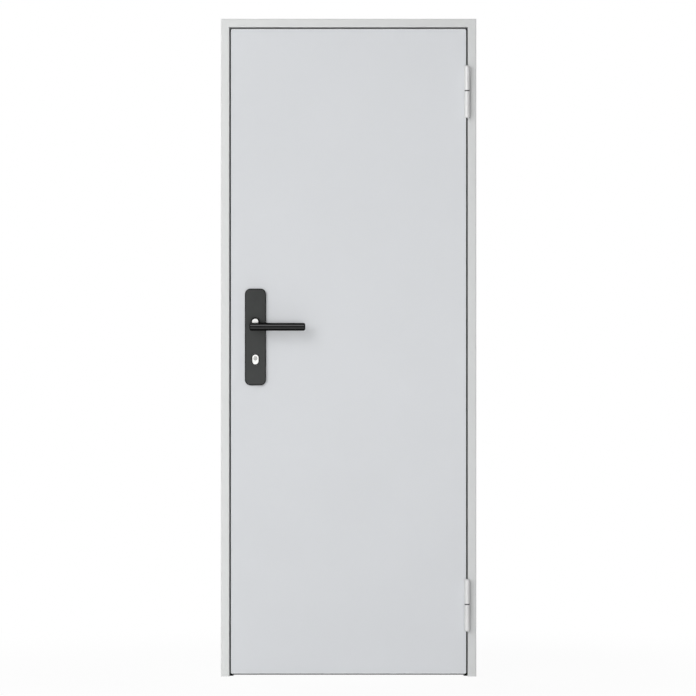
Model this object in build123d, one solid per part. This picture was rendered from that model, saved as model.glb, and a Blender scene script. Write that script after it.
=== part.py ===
from build123d import *
import os

# A single-leaf steel fire door in its folded steel frame, in millimetres.
# It is laid out from the middle of the doorway: X to the right, Y from the front face
# backwards, Z up from the floor. Each piece is moved to the part's own origin as it is written:
# the middle of the underside of the foot plate on the hinge side.

# Frame
WIDTH = 800.0
HEIGHT = 2060.0
FRAME_DEPTH = 100.0
FACE = 26.5
REBATE = 30.0
LANDING = 13.0
WALL_LIP = 20.0
STEEL = 1.5
BEND = 1.0
MITRE_SIDE = 110.0

# Running gaps and fits
GAP = 5.0
FLOOR_GAP = 8.5
SEAT = 0.3
FIT = 0.05

# Leaf
LEAF_THICKNESS = 63.0
FLANGE = 25.0
LEAF_STEP = 17.0
SKIN = 1.0
LEAF_CORNER = 5.0
EDGE_BEVEL = 1.0
SHEET_EDGE = 1.0

# Hinges
BARREL_R = 9.0
BARREL_CLEAR = 2.5
PIN_R = 5.5
FRAME_KNUCKLE = 83.0
LEAF_KNUCKLE = 77.0
RING = 4.0
RING_R = 7.6
DOME = 3.5
CROWN_R = 5.5
CAP = 9.0
WING = 3.0
WING_REACH = 24.0
WING_ROOT = 6.0
PIN_NOSE = 1.0
LOWER_HINGE_HEIGHT = 142.0
UPPER_HINGE_DROP = 115.5

# Dog bolts on the hinge edge
DOG_OFFSET = 116.0
DOG_R = 6.0
DOG_REACH = 13.0
DOG_DEPTH = 22.0
DOG_CLEAR = 5.5
DOG_SETBACK = 18.5
DOG_NOSE = 2.0

# Lock
BACKSET = 60.0
LEVER_HEIGHT = 1110.7
CYLINDER_DROP = 117.7
CYLINDER_WIDTH = 19.0
CYLINDER_TALL = 30.0
CYLINDER_SUNK = 1.0
KEYWAY_WIDTH = 2.4
KEYWAY_TALL = 10.0
KEYWAY_DEPTH = 12.0
KEYWAY_RISE = 4.0
FOREND_WIDTH = 20.0
FOREND_MARGIN = 58.5
FOREND_STEEL = 3.0
CASE_THICK = 15.0
CASE_MARGIN = 34.0
CASE_DEEP = 88.0
LOCK_SETBACK = 45.0
LATCH_TALL = 34.0
LATCH_THICK = 11.0
LATCH_DEEP = 38.0
BOLT_TALL = 36.0
BOLT_THICK = 9.0
BOLT_DEEP = 50.0
SPINDLE = 9.0
SPINDLE_HOLE_R = 7.0

# Strike
STRIKE_WIDTH = 24.0
STRIKE_MARGIN = 3.0
BOX_STEEL = 1.2
BOX_DEPTH = 22.0
BOX_FLANGE = 6.0

# Handle set
PLATE_WIDTH = 66.0
PLATE_ABOVE = 104.3
PLATE_BELOW = 81.0
PLATE_THICK = 10.0
PLATE_CORNER = 17.5
PLATE_EDGE = 3.5
PLATE_RECESS = 3.0
RIM_WIDTH = 25.0
RIM_TALL = 36.0
HUB_R = 13.5
HUB_REACH = 38.0
HUB_EDGE = 1.2
CAP_R = 9.8
CAP_THICK = 2.0
BAR_LENGTH = 174.0
BAR_TALL = 24.4
BAR_DEEP = 16.0
BAR_DROP = 15.7
BAR_START = 17.5
BAR_CORNER = 5.5
BAR_EDGE = 7.5
LEVER_REACH = 62.0
NECK_START = 14.0
NECK_SUNK = 8.0
NECK_RISE = 2.0
NECK_ROOT = 14.0
NECK_TALL = 18.0
NECK_WIDTH = 18.0
NECK_CHAMFER = 3.0
GROOVE = 3.6
GROOVE_DEPTH = 0.9
GROOVE_MARGIN = 12.0

# Seals
GASKET_WIDTH = 9.0
GASKET_BULB = 2.0
BOTTOM_SEAL_TALL = 3.0
BOTTOM_SEAL_DEEP = 12.0
BOTTOM_SEAL_SETBACK = 4.0
STRIP_WIDTH = 20.0
STRIP_THICK = 2.0
STRIP_SETBACK = 44.0
STRIP_BREAK = 12.0

# Fixings into floor and wall
FOOT_STEEL = 4.0
FOOT_CORNER = 2.0
FOOT_HOLE_R = 5.5
FOOT_PITCH = 40.0
ANCHOR_STEEL = 3.0
ANCHOR_TALL = 40.0
ANCHOR_LAP = 12.0
ANCHOR_HOLE_R = 5.5
ACCESS_HOLE_R = 9.0
ANCHOR_MARGIN = 260.0

# Worked out from the sizes above
HALF = WIDTH / 2
WEB_X = HALF - FACE
REVEAL_X = WEB_X - LANDING
LEAF_X = WEB_X - GAP
LEAF_TOP = HEIGHT - FACE - GAP
BODY_X = LEAF_X - LEAF_STEP
BODY_TOP = LEAF_TOP - LEAF_STEP
AXIS_X = WEB_X - GAP / 2
AXIS_Y = -(BARREL_R + BARREL_CLEAR)
SPINDLE_X = -BODY_X + BACKSET
LANDING_TOP = HEIGHT - FACE
REVEAL_TOP = LANDING_TOP - LANDING
BAR_HEIGHT = LEVER_HEIGHT - BAR_DROP
CYLINDER_HEIGHT = LEVER_HEIGHT - CYLINDER_DROP
FOOT_X = (HALF - STEEL + REVEAL_X + STEEL) / 2
FOOT_Y = (REBATE + FRAME_DEPTH) / 2
ORIGIN = Vector(FOOT_X, FOOT_Y, 0)
FOREND_SPAN = (CYLINDER_HEIGHT - FOREND_MARGIN, LEVER_HEIGHT + FOREND_MARGIN)
PLATE_SPAN = (CYLINDER_HEIGHT - PLATE_BELOW, LEVER_HEIGHT + PLATE_ABOVE)
HINGE_TALL = FRAME_KNUCKLE + RING + LEAF_KNUCKLE
LOWER_HINGE = LOWER_HINGE_HEIGHT
UPPER_HINGE = LEAF_TOP - UPPER_HINGE_DROP - HINGE_TALL
HINGE_BOTTOMS = {"lower": LOWER_HINGE, "upper": UPPER_HINGE}
DOG_HEIGHTS = (LOWER_HINGE + HINGE_TALL + DOG_OFFSET, UPPER_HINGE - DOG_OFFSET)
DOG_Y = LEAF_THICKNESS - DOG_SETBACK
DOG_SLOT = 2 * (DOG_R + DOG_CLEAR)
ANCHOR_HEIGHTS = (ANCHOR_MARGIN, HEIGHT / 2, HEIGHT - ANCHOR_MARGIN)
ANCHOR_Y = (REBATE + FRAME_DEPTH) / 2
GASKET_X = REVEAL_X + BEND + STEEL
BEYOND = 5.0


def block(x, y, z):
    """A box between two values on each axis."""
    middle = Pos((x[0] + x[1]) / 2, (y[0] + y[1]) / 2, (z[0] + z[1]) / 2)
    return middle * Box(x[1] - x[0], y[1] - y[0], z[1] - z[0])


def rod(start, end, radius):
    """A round bar from one point to another."""
    way = Vector(*end) - Vector(*start)
    base = Plane(origin=start, z_dir=way)
    return base * Cylinder(radius, way.length, align=(Align.CENTER, Align.CENTER, Align.MIN))


def facing(x, y, z):
    """A plane seen from the front of the door, with its sketch upright."""
    return Plane(origin=(x, y, z), x_dir=(1, 0, 0), z_dir=(0, -1, 0))


def through(sketch, x, z, y):
    """A sketch seen from the front, pushed from one depth to another."""
    return extrude(facing(x, y[0], z) * sketch, amount=y[1] - y[0], dir=(0, 1, 0))


def upright_slot(width, tall):
    """A slot with round ends, standing upright."""
    return SlotOverall(tall, width, rotation=90)


def folded_section(path, thickness):
    """The outline of a sheet on the left of a path, folded as the path turns: folds are round outside."""
    corners = [Vector(*point) for point in path]
    runs = [(b - a).normalized() for a, b in zip(corners, corners[1:])]
    sides = [Vector(-run.Y, run.X) for run in runs]
    inner = [corners[0] + sides[0] * thickness]
    outer_radii = [0.0]
    inner_radii = [0.0]
    for corner, before, after, near, far in zip(corners[1:], runs, runs[1:], sides, sides[1:]):
        inner.append(corner + (near + far) * (thickness / (1 + near.dot(far))))
        turns_left = before.cross(after).Z > 0
        outer_radii.append(BEND + thickness if turns_left else 0.0)
        inner_radii.append(0.0 if turns_left else BEND + thickness)
    inner.append(corners[-1] + sides[-1] * thickness)
    outer_radii.append(0.0)
    inner_radii.append(0.0)
    outline = corners + inner[::-1]
    return make_face(FilletPolyline(*outline, radius=outer_radii + inner_radii[::-1], close=True))


def frame_section():
    """The frame's folded profile: inwards from the wall face, then backwards."""
    inner = FACE + LANDING
    path = [
        (0, WALL_LIP),
        (0, 0),
        (FACE, 0),
        (FACE, REBATE),
        (inner, REBATE),
        (inner, FRAME_DEPTH),
        (0, FRAME_DEPTH),
        (0, FRAME_DEPTH - WALL_LIP),
    ]
    return folded_section(path, STEEL)


def plain_jamb():
    """The right jamb before its cut-outs, mitred at the top."""
    above = Plane(origin=(HALF, 0, HEIGHT), x_dir=(-1, 0, 0), z_dir=(0, 0, -1))
    jamb = extrude(above * frame_section(), amount=HEIGHT, dir=(0, 0, -1))
    return jamb - mitre_waste(1, (HALF - MITRE_SIDE, HEIGHT))


def mitre_waste(side, inner):
    """The wedge cut off one side of a mitre: from the frame's outer corner to an inner point beside it."""
    tip = (side * HALF, HEIGHT)
    foot = (side * (HALF - MITRE_SIDE), HEIGHT - MITRE_SIDE)
    outline = Polyline(tip, inner, foot, close=True)
    return through(make_face(outline), 0, 0, (-BEYOND, FRAME_DEPTH + BEYOND))


def head():
    """The head between the jambs, mitred at both ends."""
    end = Plane(origin=(-HALF, 0, HEIGHT), x_dir=(0, 0, -1), z_dir=(1, 0, 0))
    bar = extrude(end * frame_section(), amount=WIDTH, dir=(1, 0, 0))
    for side in (-1, 1):
        bar -= mitre_waste(side, (side * HALF, HEIGHT - MITRE_SIDE))
    return bar


def hinge_jamb():
    """The right jamb, notched for the hinge wings, slotted for the dog bolts and holed for the anchors."""
    jamb = plain_jamb()
    for bottom in HINGE_BOTTOMS.values():
        jamb -= block((WEB_X - BEYOND, WEB_X + WING), (-BEYOND, WING_REACH), wing_span(bottom, "frame"))
    for height in DOG_HEIGHTS:
        x = (REVEAL_X - BEYOND, REVEAL_X + BEYOND)
        jamb -= block(x, across(DOG_Y, DOG_SLOT), across(height, DOG_SLOT))
    return jamb - access_holes(1)


def lock_jamb():
    """The left jamb, cut out for the strike plate and holed for the anchors."""
    jamb = mirror(plain_jamb(), about=Plane.YZ)
    y = across(LOCK_SETBACK, STRIKE_WIDTH)
    jamb -= block((-REVEAL_X - BEYOND, -REVEAL_X + BEYOND), y, FOREND_SPAN)
    return jamb - access_holes(-1)


def access_holes(side):
    """Holes in the reveal through which the wall bolts are reached."""
    holes = []
    for height in ANCHOR_HEIGHTS:
        start = (side * (REVEAL_X - BEYOND), ANCHOR_Y, height)
        holes.append(rod(start, (side * (REVEAL_X + BEYOND), ANCHOR_Y, height), ACCESS_HOLE_R))
    return holes


def across(middle, width):
    """Two values set evenly about a middle."""
    return (middle - width / 2, middle + width / 2)


def foot_plate(side):
    """A flat foot welded into the bottom of a jamb, with two bolt holes."""
    x = (side * (REVEAL_X + STEEL), side * (HALF - STEEL))
    foot = block((min(x), max(x)), (REBATE + STEEL, FRAME_DEPTH - STEEL), (0, FOOT_STEEL))
    foot = chamfer(foot.edges().filter_by(Axis.Z), FOOT_CORNER)
    for y in across(FOOT_Y, FOOT_PITCH):
        foot -= rod((side * FOOT_X, y, -BEYOND), (side * FOOT_X, y, FOOT_STEEL + BEYOND), FOOT_HOLE_R)
    return foot


def wall_anchors(side):
    """Straps welded across the back of a jamb, each with a hole for a wall bolt."""
    outer = HALF - STEEL
    y = (WALL_LIP - ANCHOR_LAP, FRAME_DEPTH - WALL_LIP + ANCHOR_LAP)
    x = (side * (outer - ANCHOR_STEEL), side * outer)
    straps = []
    for height in ANCHOR_HEIGHTS:
        strap = block((min(x), max(x)), y, across(height, ANCHOR_TALL))
        inner = (side * (outer - ANCHOR_STEEL - BEYOND), ANCHOR_Y, height)
        strap -= rod(inner, (side * (outer + BEYOND), ANCHOR_Y, height), ANCHOR_HOLE_R)
        straps.append(strap)
    return Compound(straps)


def wing_span(bottom, half):
    """The lowest and highest point of a hinge wing."""
    if half == "frame":
        return (bottom + DOME, bottom + FRAME_KNUCKLE)
    low = bottom + FRAME_KNUCKLE + RING
    return (low, low + LEAF_KNUCKLE - DOME)


def knuckle(length):
    """A barrel with a turned crown at its lower end, standing on the axis with its tip at height nought."""
    outline = Polyline((0, 0), (CROWN_R, 0), (BARREL_R, DOME), (BARREL_R, length), (0, length), close=True)
    return revolve(Plane.XZ * make_face(outline), axis=Axis.Z)


def hinge_half(bottom, half):
    """One half of a lift-off hinge: a bored barrel and the wing let into its edge."""
    bore = PIN_R + (FIT if half == "leaf" else 0)
    length = FRAME_KNUCKLE if half == "frame" else LEAF_KNUCKLE
    hollow = Cylinder(bore, length, align=(Align.CENTER, Align.CENTER, Align.MIN))
    barrel = knuckle(length) - Pos(0, 0, CAP) * hollow
    if half == "frame":
        barrel = Pos(AXIS_X, AXIS_Y, bottom) * barrel
        x = (WEB_X, WEB_X + WING)
    else:
        barrel = Pos(AXIS_X, AXIS_Y, bottom + FRAME_KNUCKLE + RING + LEAF_KNUCKLE) * Rot(180, 0, 0) * barrel
        x = (LEAF_X - WING, LEAF_X)
    return barrel + block(x, (AXIS_Y + WING_ROOT, WING_REACH), wing_span(bottom, half))


def hinge_pin(bottom):
    """The pin fixed in the lower barrel, on which the leaf's barrel turns."""
    top = bottom + FRAME_KNUCKLE + RING + LEAF_KNUCKLE - CAP - 2 * SEAT
    pin = rod((AXIS_X, AXIS_Y, bottom + CAP), (AXIS_X, AXIS_Y, top), PIN_R)
    return chamfer(pin.edges().group_by(Axis.Z)[-1], PIN_NOSE)


def hinge_ring(bottom):
    """The bearing ring on which the leaf's barrel rests."""
    low = bottom + FRAME_KNUCKLE
    ring = rod((AXIS_X, AXIS_Y, low), (AXIS_X, AXIS_Y, low + RING - FIT), RING_R)
    return ring - rod((AXIS_X, AXIS_Y, low - RING), (AXIS_X, AXIS_Y, low + 2 * RING), PIN_R + FIT)


def flange_block(inset, y):
    """The leaf's wide front part, bevelled on the lock edge: corners are round, or cut off where inset."""
    low = FLOOR_GAP + inset
    side = LEAF_X - inset
    bevel = EDGE_BEVEL / FLANGE
    outline = [
        (-side + bevel * y[0], y[0]),
        (side, y[0]),
        (side, y[1]),
        (-side + bevel * y[1], y[1]),
    ]
    floor = Plane(origin=(0, 0, low))
    foot = floor * make_face(Polyline(*outline, close=True))
    wide = extrude(foot, amount=LEAF_TOP - inset - low, dir=(0, 0, 1))
    corners = wide.edges().filter_by(lambda edge: abs(edge.length - (y[1] - y[0])) < EDGE_BEVEL)
    if inset:
        return chamfer(corners, LEAF_CORNER / 2)
    return fillet(corners, LEAF_CORNER)


def body_block(inset, y):
    """The narrower rear part of the leaf."""
    return block((-BODY_X + inset, BODY_X - inset), y, (FLOOR_GAP + inset, BODY_TOP - inset))


def wing_pockets(clear):
    """Room in the leaf's edge for the hinge wings."""
    pockets = []
    for bottom in HINGE_BOTTOMS.values():
        low, high = wing_span(bottom, "leaf")
        x = (LEAF_X - WING - clear, LEAF_X + BEYOND)
        pockets.append(block(x, (-BEYOND, WING_REACH + clear), (low - clear, high + clear)))
    return pockets


def handle_holes(y):
    """Holes for the spindle and the cylinder."""
    spindle = rod((SPINDLE_X, y[0], LEVER_HEIGHT), (SPINDLE_X, y[1], LEVER_HEIGHT), SPINDLE_HOLE_R)
    slot = upright_slot(CYLINDER_WIDTH + 2 * SEAT, CYLINDER_TALL + 2 * SEAT)
    return [spindle, through(slot, SPINDLE_X, CYLINDER_HEIGHT, y)]


def leaf_front_skin():
    """The front tray: face, folded edges and the return that laps the gap."""
    tray = flange_block(0, (0, FLANGE))
    tray = chamfer(tray.faces().sort_by(Axis.Y)[0].edges(), SHEET_EDGE)
    tray -= flange_block(SKIN, (SKIN, FLANGE - SKIN))
    tray -= body_block(0, (FLANGE - 2 * SKIN, FLANGE + BEYOND))
    tray -= wing_pockets(0)
    return tray - handle_holes((-BEYOND, FLANGE))


def leaf_back_skin():
    """The back tray, whose sides run forward into the front one."""
    tray = body_block(0, (FLANGE - SKIN, LEAF_THICKNESS))
    tray = chamfer(tray.faces().sort_by(Axis.Y)[-1].edges(), SHEET_EDGE)
    tray -= body_block(SKIN, (FLANGE - 2 * SKIN, LEAF_THICKNESS - SKIN))
    tray -= forend_blank(BEYOND)
    for height in DOG_HEIGHTS:
        tray -= rod((BODY_X - DOG_DEPTH, DOG_Y, height), (BODY_X + BEYOND, DOG_Y, height), DOG_R)
    return tray - handle_holes((FLANGE, LEAF_THICKNESS + BEYOND))


def leaf_core():
    """The insulating board between the two trays, cut through at the lock and notched for the dog bolts."""
    core = flange_block(SKIN, (SKIN, FLANGE - SKIN))
    core += body_block(SKIN, (FLANGE - SKIN, LEAF_THICKNESS - SKIN))
    core -= wing_pockets(0)
    x, _, z = case_room()
    core -= block((x[0] - BEYOND, x[1]), (-BEYOND, LEAF_THICKNESS + BEYOND), z)
    core -= forend_blank(BEYOND)
    for height in DOG_HEIGHTS:
        core -= block((BODY_X - DOG_DEPTH, BODY_X), across(DOG_Y, 2 * DOG_R), across(height, 2 * DOG_R))
    return core


def dog_bolts():
    """Fixed steel pins that hold the hinge edge to the frame when the door is shut."""
    pins = []
    for height in DOG_HEIGHTS:
        pin = rod((BODY_X - DOG_DEPTH, DOG_Y, height), (BODY_X + DOG_REACH, DOG_Y, height), DOG_R)
        pins.append(chamfer(pin.edges().group_by(Axis.X)[-1], DOG_NOSE))
    return Compound(pins)


def forend_blank(proud):
    """The forend before its mouths, standing proud of the edge by a given amount."""
    return block((-BODY_X - proud, -BODY_X + FOREND_STEEL), across(LOCK_SETBACK, FOREND_WIDTH), FOREND_SPAN)


def case_room():
    """The lock case's box: behind the forend, round the spindle and the cylinder."""
    face = -BODY_X + FOREND_STEEL
    z = (CYLINDER_HEIGHT - CASE_MARGIN, LEVER_HEIGHT + CASE_MARGIN)
    return ((face, face + CASE_DEEP), across(LOCK_SETBACK, CASE_THICK), z)


def latch_room(clear, deep):
    """The latch bolt's box, drawn in flush with the forend."""
    y = across(LOCK_SETBACK, LATCH_THICK + 2 * clear)
    z = across(LEVER_HEIGHT, LATCH_TALL + 2 * clear)
    return ((-BODY_X, -BODY_X + deep), y, z)


def bolt_room(clear, deep):
    """The dead bolt's box, drawn in flush with the forend."""
    y = across(LOCK_SETBACK, BOLT_THICK + 2 * clear)
    z = across(CYLINDER_HEIGHT, BOLT_TALL + 2 * clear)
    return ((-BODY_X, -BODY_X + deep), y, z)


def lock_case():
    """The lock case, with room for its bolts, the spindle and the cylinder."""
    case = block(*case_room())
    case -= block(*latch_room(0, LATCH_DEEP))
    case -= block(*bolt_room(0, BOLT_DEEP))
    return case - handle_holes((-BEYOND, LEAF_THICKNESS + BEYOND))


def lock_forend():
    """The plate on the lock edge through which the bolts come out."""
    plate = forend_blank(0)
    plate -= block(*latch_room(SEAT, LATCH_DEEP))
    return plate - block(*bolt_room(SEAT, BOLT_DEEP))


def latch_bolt():
    """The latch bolt, drawn in."""
    return block(*latch_room(0, LATCH_DEEP))


def dead_bolt():
    """The dead bolt, drawn in."""
    return block(*bolt_room(0, BOLT_DEEP))


def lock_cylinder():
    """The cylinder that runs through the leaf, with a keyway at each end."""
    y = (-PLATE_THICK + CYLINDER_SUNK, LEAF_THICKNESS + PLATE_THICK - CYLINDER_SUNK)
    body = through(upright_slot(CYLINDER_WIDTH, CYLINDER_TALL), SPINDLE_X, CYLINDER_HEIGHT, y)
    keyway = Rectangle(KEYWAY_WIDTH, KEYWAY_TALL)
    z = CYLINDER_HEIGHT + KEYWAY_RISE
    body -= through(keyway, SPINDLE_X, z, (y[0] - BEYOND, y[0] + KEYWAY_DEPTH))
    return body - through(keyway, SPINDLE_X, z, (y[1] - KEYWAY_DEPTH, y[1] + BEYOND))


def front_backplate():
    """The long plate on the front, with a sloped edge, a hub recess and a cylinder opening."""
    low, high = PLATE_SPAN
    outline = RectangleRounded(PLATE_WIDTH, high - low, PLATE_CORNER)
    plate = through(outline, SPINDLE_X, (low + high) / 2, (-PLATE_THICK, 0))
    front = plate.faces().sort_by(Axis.Y)[0]
    plate = chamfer(front.outer_wire().edges(), PLATE_EDGE)
    hub = (-PLATE_THICK - BEYOND, -PLATE_THICK + PLATE_RECESS)
    plate -= rod((SPINDLE_X, hub[0], LEVER_HEIGHT), (SPINDLE_X, hub[1], LEVER_HEIGHT), HUB_R + SEAT)
    plate -= rod((SPINDLE_X, -PLATE_THICK, LEVER_HEIGHT), (SPINDLE_X, BEYOND, LEVER_HEIGHT), SPINDLE_HOLE_R)
    opening = upright_slot(RIM_WIDTH, RIM_TALL)
    return plate - through(opening, SPINDLE_X, CYLINDER_HEIGHT, (-PLATE_THICK - BEYOND, BEYOND))


def front_lever():
    """The lever: a hub round the spindle, a neck cranked downwards and the grip."""
    hub_back = -PLATE_THICK + PLATE_RECESS - SEAT
    hub = rod((SPINDLE_X, hub_back, LEVER_HEIGHT), (SPINDLE_X, -HUB_REACH, LEVER_HEIGHT), HUB_R)
    hub = chamfer(hub.edges().group_by(Axis.Y)[0], HUB_EDGE)
    lever = hub + neck() + grip()
    socket = spindle_bar((-HUB_REACH + CAP_THICK, 0))
    before = (SPINDLE_X, -HUB_REACH - BEYOND, LEVER_HEIGHT)
    recess = rod(before, (SPINDLE_X, -HUB_REACH + CAP_THICK, LEVER_HEIGHT), CAP_R)
    return lever - socket - recess


def neck():
    """A flat-sided neck that drops from inside the hub and widens into the back of the grip."""
    near = -NECK_START
    far = -LEVER_REACH + NECK_SUNK
    side = [
        (near, LEVER_HEIGHT + NECK_RISE),
        (far, BAR_HEIGHT + NECK_TALL / 2),
        (far, BAR_HEIGHT - NECK_TALL / 2),
        (near, LEVER_HEIGHT + NECK_RISE - NECK_ROOT),
    ]
    wide = Plane(origin=(SPINDLE_X, 0, 0), x_dir=(0, 1, 0), z_dir=(1, 0, 0))
    bar = extrude(wide * make_face(Polyline(*side, close=True)), amount=NECK_WIDTH / 2, both=True)
    long_edges = bar.edges().filter_by(lambda edge: edge.bounding_box().size.Y > NECK_WIDTH)
    return chamfer(long_edges, NECK_CHAMFER)


def grip():
    """The grip bar: rounded corners from the front, rounded long edges and a groove along its middle."""
    middle = SPINDLE_X - BAR_START + BAR_LENGTH / 2
    depth = (-LEVER_REACH, -LEVER_REACH + BAR_DEEP)
    bar = through(RectangleRounded(BAR_LENGTH, BAR_TALL, BAR_CORNER), middle, BAR_HEIGHT, depth)
    start = (middle - BAR_LENGTH / 2, sum(depth) / 2, BAR_HEIGHT)
    end = Plane(origin=start, x_dir=(0, 1, 0), z_dir=(1, 0, 0))
    bar &= extrude(end * RectangleRounded(BAR_DEEP, BAR_TALL, BAR_EDGE), amount=BAR_LENGTH)
    groove = SlotOverall(BAR_LENGTH - 2 * GROOVE_MARGIN, GROOVE)
    return bar - through(groove, middle, BAR_HEIGHT, (-LEVER_REACH - BEYOND, -LEVER_REACH + GROOVE_DEPTH))


def front_hub_cap():
    """The light cap over the end of the spindle."""
    face = (SPINDLE_X, -HUB_REACH, LEVER_HEIGHT)
    return rod(face, (SPINDLE_X, -HUB_REACH + CAP_THICK, LEVER_HEIGHT), CAP_R)


def spindle_bar(y):
    """A square bar on the lever's axis."""
    return block(across(SPINDLE_X, SPINDLE), y, across(LEVER_HEIGHT, SPINDLE))


def spindle():
    """The square spindle that joins both levers through the lock."""
    return spindle_bar((-HUB_REACH + CAP_THICK, LEAF_THICKNESS + HUB_REACH - CAP_THICK))


def to_the_back(shape):
    """The same piece on the back of the leaf."""
    return mirror(shape, about=Plane(origin=(0, LEAF_THICKNESS / 2, 0), z_dir=(0, 1, 0)))


def strike_plate():
    """The plate in the lock jamb with the mouths for the latch and the dead bolt."""
    plate = block((-REVEAL_X - STEEL, -REVEAL_X), across(LOCK_SETBACK, STRIKE_WIDTH), FOREND_SPAN)
    for height, tall, thick in bolt_mouths():
        mouth = (-REVEAL_X - BEYOND, -REVEAL_X + BEYOND)
        plate -= block(mouth, across(LOCK_SETBACK, thick), across(height, tall))
    return plate


def bolt_mouths():
    """Height, tallness and thickness of each mouth in the strike."""
    latch = (LEVER_HEIGHT, LATCH_TALL + 2 * STRIKE_MARGIN, LATCH_THICK + STRIKE_MARGIN)
    bolt = (CYLINDER_HEIGHT, BOLT_TALL + 2 * STRIKE_MARGIN, BOLT_THICK + STRIKE_MARGIN)
    return [latch, bolt]


def strike_box():
    """Two folded pockets behind the strike, on one flange."""
    back = -REVEAL_X - STEEL
    front, rear = across(LOCK_SETBACK, STRIKE_WIDTH)
    low, high = FOREND_SPAN
    box = block((back - BOX_STEEL, back), (front, rear + BOX_FLANGE), (low - BOX_FLANGE, high + BOX_FLANGE))
    for height, tall, thick in bolt_mouths():
        outer = (across(LOCK_SETBACK, thick + 2 * BOX_STEEL), across(height, tall + 2 * BOX_STEEL))
        box += block((back - BOX_DEPTH, back), *outer)
    for height, tall, thick in bolt_mouths():
        mouth = (back - BOX_DEPTH + BOX_STEEL, back + BEYOND)
        box -= block(mouth, across(LOCK_SETBACK, thick), across(height, tall))
    return box


def gasket_section():
    """A seal with a round bulb, from the landing forwards."""
    tall = GAP - SEAT
    outline = Polyline((0, 0), (GASKET_WIDTH, 0), (GASKET_WIDTH, tall), (0, tall), close=True)
    face = make_face(outline)
    return fillet(face.vertices().group_by(Axis.Y)[-1], GASKET_BULB)


def smoke_gasket(side):
    """The seal on a jamb's landing, up to the seal on the head."""
    base = Plane(origin=(GASKET_X, REBATE, 0), x_dir=(1, 0, 0), z_dir=(0, 0, -1))
    seal = extrude(base * gasket_section(), amount=REVEAL_TOP + BEND + STEEL, dir=(0, 0, 1))
    return seal if side > 0 else mirror(seal, about=Plane.YZ)


def head_smoke_gasket():
    """The seal on the head's landing, across the doorway."""
    end = GASKET_X + GASKET_WIDTH
    base = Plane(origin=(-end, REBATE, REVEAL_TOP + BEND + STEEL), x_dir=(0, 0, 1), z_dir=(1, 0, 0))
    return extrude(base * gasket_section(), amount=2 * end, dir=(1, 0, 0))


def bottom_seal():
    """The rubber lip under the leaf, between its rounded corners."""
    end = LEAF_X - LEAF_CORNER
    y = (BOTTOM_SEAL_SETBACK, BOTTOM_SEAL_SETBACK + BOTTOM_SEAL_DEEP)
    return block((-end, end), y, (FLOOR_GAP - BOTTOM_SEAL_TALL, FLOOR_GAP))


def strip_runs(breaks):
    """Lengths of strip up a jamb, broken round what stands in their way."""
    low = FLOOR_GAP
    runs = []
    for start, end in sorted(breaks):
        runs.append((low, start - STRIP_BREAK))
        low = end + STRIP_BREAK
    runs.append((low, REVEAL_TOP - STRIP_THICK))
    return runs


def fire_strip(side, breaks):
    """The strip that swells in a fire, on a jamb's reveal."""
    x = (side * (REVEAL_X - STRIP_THICK), side * REVEAL_X)
    y = across(STRIP_SETBACK, STRIP_WIDTH)
    return Compound([block((min(x), max(x)), y, run) for run in strip_runs(breaks)])


def head_fire_strip():
    """The strip that swells in a fire, under the head."""
    y = across(STRIP_SETBACK, STRIP_WIDTH)
    return block((-REVEAL_X, REVEAL_X), y, (REVEAL_TOP - STRIP_THICK, REVEAL_TOP))


def pieces():
    """Every piece by its name."""
    dogs = [across(height, DOG_SLOT) for height in DOG_HEIGHTS]
    plate = front_backplate()
    lever = front_lever()
    cap = front_hub_cap()
    named = {
        "hinge_jamb": hinge_jamb(),
        "lock_jamb": lock_jamb(),
        "head": head(),
        "hinge_foot_plate": foot_plate(1),
        "lock_foot_plate": foot_plate(-1),
        "hinge_wall_anchors": wall_anchors(1),
        "lock_wall_anchors": wall_anchors(-1),
        "strike_plate": strike_plate(),
        "strike_box": strike_box(),
        "hinge_smoke_gasket": smoke_gasket(1),
        "lock_smoke_gasket": smoke_gasket(-1),
        "head_smoke_gasket": head_smoke_gasket(),
        "hinge_fire_strip": fire_strip(1, dogs),
        "lock_fire_strip": fire_strip(-1, [FOREND_SPAN]),
        "head_fire_strip": head_fire_strip(),
        "leaf_front_skin": leaf_front_skin(),
        "leaf_back_skin": leaf_back_skin(),
        "leaf_core": leaf_core(),
        "bottom_seal": bottom_seal(),
        "dog_bolts": dog_bolts(),
        "lock_case": lock_case(),
        "lock_forend": lock_forend(),
        "latch_bolt": latch_bolt(),
        "dead_bolt": dead_bolt(),
        "lock_cylinder": lock_cylinder(),
        "front_backplate": plate,
        "rear_backplate": to_the_back(plate),
        "front_lever": lever,
        "rear_lever": to_the_back(lever),
        "front_hub_cap": cap,
        "rear_hub_cap": to_the_back(cap),
        "spindle": spindle(),
    }
    for name, bottom in HINGE_BOTTOMS.items():
        named[name + "_hinge_frame_half"] = hinge_half(bottom, "frame")
        named[name + "_hinge_leaf_half"] = hinge_half(bottom, "leaf")
        named[name + "_hinge_pin"] = hinge_pin(bottom)
        named[name + "_hinge_ring"] = hinge_ring(bottom)
    return named


os.makedirs("parts", exist_ok=True)
for name, shape in pieces().items():
    export_step(Pos(-ORIGIN) * shape, f"parts/{name}.step")
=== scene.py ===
import math
import bmesh
import bpy
from mathutils import Matrix, Vector


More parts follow.
